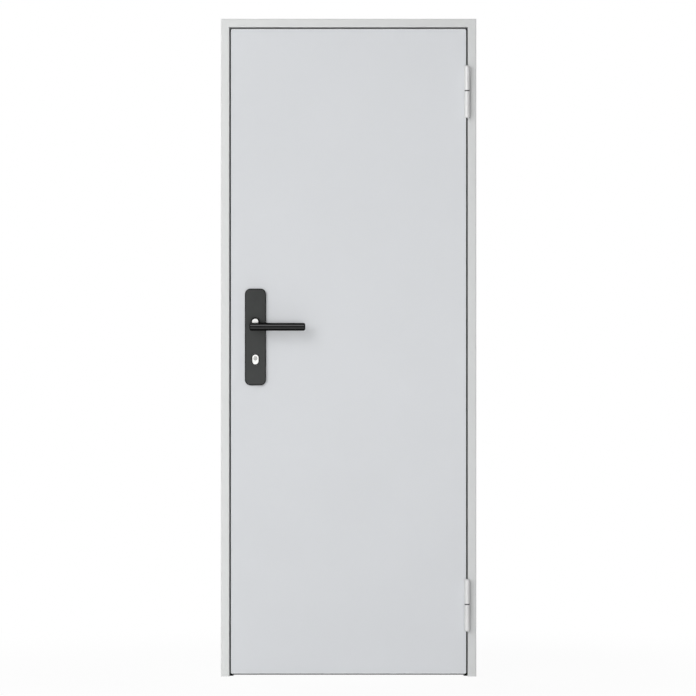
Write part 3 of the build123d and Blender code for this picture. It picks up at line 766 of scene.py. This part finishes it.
def grip_mesh():
    """The grip, lofted along its length, with round ends and a groove that fades out before them."""
    length = lever_high.x - lever_low.x
    rings = []
    for along, inset in grip_stations(length):
        reach = min(along, length - along)
        share = max(0.0, min(1.0, (reach - GROOVE_MARGIN) / GROOVE_EASE))
        groove = GROOVE_DEPTH * share * share * (3 - 2 * share)
        deep = GRIP_DEEP - GRIP_END_THINNING * inset
        rings.append(grip_ring(lever_low.x + along, GRIP_TALL - 2 * inset, deep, groove))
    return loft(rings, "grip")


def lever_mesh():
    """Hub, neck and grip cast as one, with the recess for the cap."""
    joined = bmesh.new()
    for part in (hub_mesh(), neck_mesh(), grip_mesh()):
        joined.from_mesh(part)
    data = bpy.data.meshes.new("lever_parts")
    joined.to_mesh(data)
    joined.free()
    blank = carrier(data)
    fuse = blank.modifiers.new("fuse", "REMESH")
    fuse.mode = "VOXEL"
    fuse.voxel_size = LEVER_VOXEL
    soften = blank.modifiers.new("soften", "CORRECTIVE_SMOOTH")
    soften.use_only_smooth = True
    soften.iterations = LEVER_SMOOTHINGS
    soften.factor = LEVER_SMOOTHING
    fused = modified(blank)
    bpy.data.objects.remove(blank)
    start = cap_low.y - CAP_CUT_LEAD
    recess = spindle_bar(CAP_R + CAP_FIT, start, CAP_CUT_LEAD + CAP_SUNK, "cap_cutter", steps=96)
    return smooth(cut(fused, recess), degrees=40)


def shadow_ring_mesh():
    """A black ring between the cylinder and the plate, as painted shadow in the gap round the cylinder."""
    outer = round_ended(RIM_WIDTH - SHADOW_RING_GAP, RIM_TALL - SHADOW_RING_GAP)
    inner_width = cylinder_high.x - cylinder_low.x + SHADOW_RING_GAP
    inner_tall = cylinder_high.z - cylinder_low.z + SHADOW_RING_GAP
    inner = round_ended(inner_width, inner_tall)
    front = PLATE_TOP_Y + SHADOW_RING_SUNK
    back = PLATE_FOOT_Y - SHADOW_RING_SHORT
    blank = prism(outer, CYLINDER_X, CYLINDER_Z, (front, back), "shadow_ring")
    depths = (front - SHADOW_RING_CUT_PAST, back + SHADOW_RING_CUT_PAST)
    hole = prism(inner, CYLINDER_X, CYLINDER_Z, depths, "shadow_ring_cutter")
    return smooth(cut(blank, hole), degrees=30)


def plug_mesh():
    """The round plug in the cylinder's face, slotted for the key."""
    face = cylinder_low.y
    z = CYLINDER_Z + PLUG_RISE
    profile = [(PLUG_R, 0), (PLUG_R, PLUG_WALL), (PLUG_R - PLUG_EDGE, PLUG_SUNK + PLUG_PROUD)]
    blank = turned(profile, (CYLINDER_X, face + PLUG_SUNK, z), (0, -1, 0), "plug")
    wide, tall = KEY_SLOT
    depths = (face - KEY_SLOT_DEPTH, face + KEY_SLOT_DEPTH)
    slot = prism(round_ended(wide, tall, steps=4), CYLINDER_X, z, depths, "plug_cutter")
    return smooth(cut(blank, slot), degrees=30)


def screw_mesh(place, along, name):
    """A low screw head with a six-lobed socket, whose foot is sunk a little below a surface."""
    way = Vector(along)
    foot = Vector(place) - way * (SCREW_TALL - SCREW_PROUD)
    head = turned([(SCREW_R * share, height) for share, height in SCREW_SHAPE], foot, along, name)
    lobes = []
    for i in range(SOCKET_STEPS):
        angle = 2 * math.pi * i / SOCKET_STEPS
        lobes.append(SOCKET_R * (1 + SOCKET_LOBE * math.cos(SOCKET_LOBES * angle)))
    depths = (SCREW_TALL - SOCKET_DEEP, SOCKET_CUT_PAST)
    socket = loft([ring_round(Vector(place) + way * depth, way, lobes) for depth in depths], "socket")
    return smooth(cut(head, socket), degrees=30)


def handle_set(plate_face, plate_rim_painted_shade, black):
    """Both backplates and both levers, in the place of the plain ones."""
    plate = backplate_mesh()
    plate.materials.append(plate_face)
    plate.materials.append(plate_rim_painted_shade)
    # Faces that don't look straight out, the rolled edge and sides, get the near-black finish: painted
    # shade
    for face in plate.polygons:
        flat = abs(face.normal.y) > FACE_FLATNESS
        face.material_index = 0 if flat else 1
    rear_plate = to_the_back(plate, "rear_backplate_shell")
    front = new_piece("front_backplate_shell", plate, None, "leaf")
    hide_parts("front_backplate")
    rear = new_piece("rear_backplate_shell", rear_plate, None, "leaf")
    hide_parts("rear_backplate")
    lever = lever_mesh()
    rear_lever = to_the_back(lever, "rear_lever_shell")
    front = new_piece("front_lever_shell", lever, black, "levers")
    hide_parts("front_lever")
    rear = new_piece("rear_lever_shell", rear_lever, black, "levers")
    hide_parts("rear_lever")


def cylinder_trim(seal_and_shadow_rubber, steel):
    """Black rings of painted shadow and key plugs at both ends of the cylinder."""
    shadow_ring = shadow_ring_mesh()
    plug = plug_mesh()
    rear_shadow_ring = to_the_back(shadow_ring, "rear_shadow_ring")
    rear_plug = to_the_back(plug, "rear_plug")
    new_piece("front_cylinder_shadow_ring", shadow_ring, seal_and_shadow_rubber, "leaf")
    new_piece("rear_cylinder_shadow_ring", rear_shadow_ring, seal_and_shadow_rubber, "leaf")
    new_piece("front_key_plug", plug, steel, "leaf")
    new_piece("rear_key_plug", rear_plug, steel, "leaf")


def screw_pair(plate, x, y, ends, way, body, steel):
    """A lower and an upper screw in one plate."""
    for place, z in zip(("lower", "upper"), ends):
        mesh = screw_mesh((x, y, z), way, f"{plate}_screw")
        new_piece(f"{place}_{plate}_screw", mesh, steel, body)


def screws(steel):
    """Screws in the forend, the strike and the inner backplate."""
    forend_y = (forend_low.y + forend_high.y) / 2
    ends = (forend_low.z + FOREND_SCREW_INSET, forend_high.z - FOREND_SCREW_INSET)
    screw_pair("forend", forend_low.x, forend_y, ends, (-1, 0, 0), "leaf", steel)
    strike_y = (strike_low.y + strike_high.y) / 2
    ends = (strike_low.z + STRIKE_SCREW_INSET, strike_high.z - STRIKE_SCREW_INSET)
    screw_pair("strike", strike_high.x, strike_y, ends, (1, 0, 0), "frame", steel)
    ends = (rear_plate_low.z + PLATE_SCREW_INSET, rear_plate_high.z - PLATE_SCREW_INSET)
    screw_pair("plate", SPINDLE_X, rear_plate_high.y, ends, (0, 1, 0), "leaf", steel)


def access_caps(plastic):
    """Plastic caps pressed into the holes through which the wall bolts are reached."""
    heights = (anchor_low.z + HALF_STRAP, (anchor_low.z + anchor_high.z) / 2, anchor_high.z - HALF_STRAP)
    y = (foot_low.y + foot_high.y) / 2
    profile = [(ACCESS_PLUG_R - ACCESS_TIP, 0), (ACCESS_PLUG_R, ACCESS_TIP_LENGTH)]
    profile.append((ACCESS_PLUG_R, ACCESS_PLUG_DEEP))
    for share, height in ACCESS_CAP_SHAPE:
        profile.append((ACCESS_CAP_R * share, ACCESS_PLUG_DEEP + height))
    for side, reveal, way in (("lock", lock_high.x, 1), ("hinge", hinge_low.x, -1)):
        for place, z in zip(("lower", "middle", "upper"), heights):
            start = (reveal - way * ACCESS_PLUG_DEEP, y, z)
            mesh = smooth(turned(profile, start, (way, 0, 0), "access_cap"), degrees=35)
            new_piece(f"{side}_{place}_access_cap", mesh, plastic, "frame")


def background_share(tree):
    """One for rays that see the background: from the camera, or by gloss or through glass."""
    path = tree.add("ShaderNodeLightPath")
    seen = tree.add("ShaderNodeMath", operation="MAXIMUM")
    tree.link(path, "Is Camera Ray", seen, 0)
    tree.link(path, "Is Glossy Ray", seen, 1)
    share = tree.add("ShaderNodeMath", operation="MAXIMUM")
    tree.link(seen, "Value", share, 0)
    tree.link(path, "Is Transmission Ray", share, 1)
    return share


def white_world():
    """A world that shows white and lights the object softly, more from the left and from below."""
    world = bpy.data.worlds.new("studio")
    bpy.context.scene.world = world
    world.use_nodes = True
    tree = Tree(world.node_tree)
    place = tree.add("ShaderNodeTexCoord")
    way = tree.add("ShaderNodeSeparateXYZ")
    tree.link(place, "Generated", way, "Vector")
    across = tree.add("ShaderNodeMath", operation="MULTIPLY_ADD")
    across.inputs[1].default_value = AMBIENT_RIGHTWARD
    across.inputs[2].default_value = AMBIENT
    tree.link(way, "X", across, 0)
    level = tree.add("ShaderNodeMath", operation="MULTIPLY_ADD")
    level.inputs[1].default_value = AMBIENT_UPWARD
    tree.link(way, "Z", level, 0)
    tree.link(across, "Value", level, 2)
    light = tree.add("ShaderNodeBackground")
    tree.link(level, "Value", light, "Strength")
    shown = tree.add("ShaderNodeBackground")
    shown.inputs["Color"].default_value = (*WHITE, 1)
    mix = tree.add("ShaderNodeMixShader")
    tree.link(background_share(tree), "Value", mix, "Fac")
    tree.link(light, "Background", mix, 1)
    tree.link(shown, "Background", mix, 2)
    tree.link(mix, "Shader", tree.add("ShaderNodeOutputWorld"), "Surface")


def floor_material():
    """Matt white that glows to the camera, a little less near the door, where the shadow falls."""
    material = bpy.data.materials.new("floor_white")
    material.use_nodes = True
    tree = Tree(material.node_tree)
    place = tree.add("ShaderNodeTexCoord")
    reach = tree.add("ShaderNodeVectorMath", operation="LENGTH")
    tree.link(place, "Object", reach, 0)
    fade = tree.add("ShaderNodeMapRange", interpolation_type="SMOOTHSTEP")
    fade.inputs["From Min"].default_value = SHADOW_CORE
    fade.inputs["From Max"].default_value = SHADOW_REACH
    fade.inputs["To Min"].default_value = FLOOR_GLOW
    fade.inputs["To Max"].default_value = 1.0
    tree.link(reach, "Value", fade, "Value")
    share = tree.product(background_share(tree), "Value", fade, "Result")
    matt = tree.add("ShaderNodeBsdfDiffuse")
    matt.inputs["Color"].default_value = (FLOOR_ALBEDO, FLOOR_ALBEDO, FLOOR_ALBEDO, 1)
    mix = tree.add("ShaderNodeMixShader")
    tree.link(share, "Value", mix, "Fac")
    tree.link(matt, "BSDF", mix, 1)
    tree.link(tree.add("ShaderNodeEmission"), "Emission", mix, 2)
    tree.link(mix, "Shader", tree.add("ShaderNodeOutputMaterial"), "Surface")
    return material


def floor():
    """A pale floor that looks white and still takes the object's shadow."""
    bpy.ops.mesh.primitive_plane_add(size=FLOOR_SIDE, location=(CENTRE_X, 0, 0))
    plane = bpy.context.object
    plane.name = "floor"
    plane.data.materials.append(floor_material())


def area_light(name, place, size, power):
    """A soft light aimed at the middle of the door."""
    data = bpy.data.lights.new(name, "AREA")
    data.shape = "RECTANGLE"
    data.size, data.size_y = size
    data.energy = power
    lamp = bpy.data.objects.new(name, data)
    bpy.context.scene.collection.objects.link(lamp)
    start = Vector((CENTRE_X + place[0], FRONT_Y + place[1], place[2]))
    target = Vector((CENTRE_X, 0, CAMERA_HEIGHT))
    lamp.location = start
    lamp.rotation_mode = "QUATERNION"
    lamp.rotation_quaternion = (target - start).to_track_quat("-Z", "Y")
    lamp.visible_camera = False


def camera():
    """A long lens at the photograph's height, straight in front."""
    data = bpy.data.cameras.new("camera")
    data.sensor_width = SENSOR
    data.lens = SENSOR * CAMERA_DISTANCE / VIEW_WIDTH
    data.clip_end = CAMERA_REACH
    body = bpy.data.objects.new("camera", data)
    bpy.context.scene.collection.objects.link(body)
    body.location = (CENTRE_X + CAMERA_OFFSET, FRONT_Y - CAMERA_DISTANCE, CAMERA_HEIGHT)
    body.rotation_euler = (math.pi / 2, 0, 0)
    bpy.context.scene.camera = body


# The door
dress_frame()
plate_charcoal = charcoal("plate_charcoal", CHARCOAL, sheen=0.23)
rim_painted_shade = charcoal("plate_rim_painted_shade", CHARCOAL_RIM_PAINTED_SHADE, sheen=0.1)
handle_set(plate_charcoal, rim_painted_shade, gloss_black("lever_black_painted_highlight", LEVER_BLACK))
plug_satin = brushed_steel("plug_satin", PLUG_METAL, "X", roughness=0.35, metallic=0.2)
# The black rings round the cylinder are painted shadow in the gap between cylinder and plate
cylinder_trim(rubber("shadow_ring_black", RUBBER), plug_satin)
screws(brushed_steel("screw_steel", BARE_STEEL, "X", roughness=0.28))
access_caps(moulded_plastic("cap_plastic", FRAME_PAINT))

# The view
white_world()
floor()
area_light("key", KEY_PLACE, KEY_SIZE, KEY_POWER)
area_light("fill", FILL_PLACE, FILL_SIZE, FILL_POWER)
area_light("back", BACK_PLACE, BACK_SIZE, BACK_POWER)
camera()
bpy.context.scene.view_settings.view_transform = "Standard"
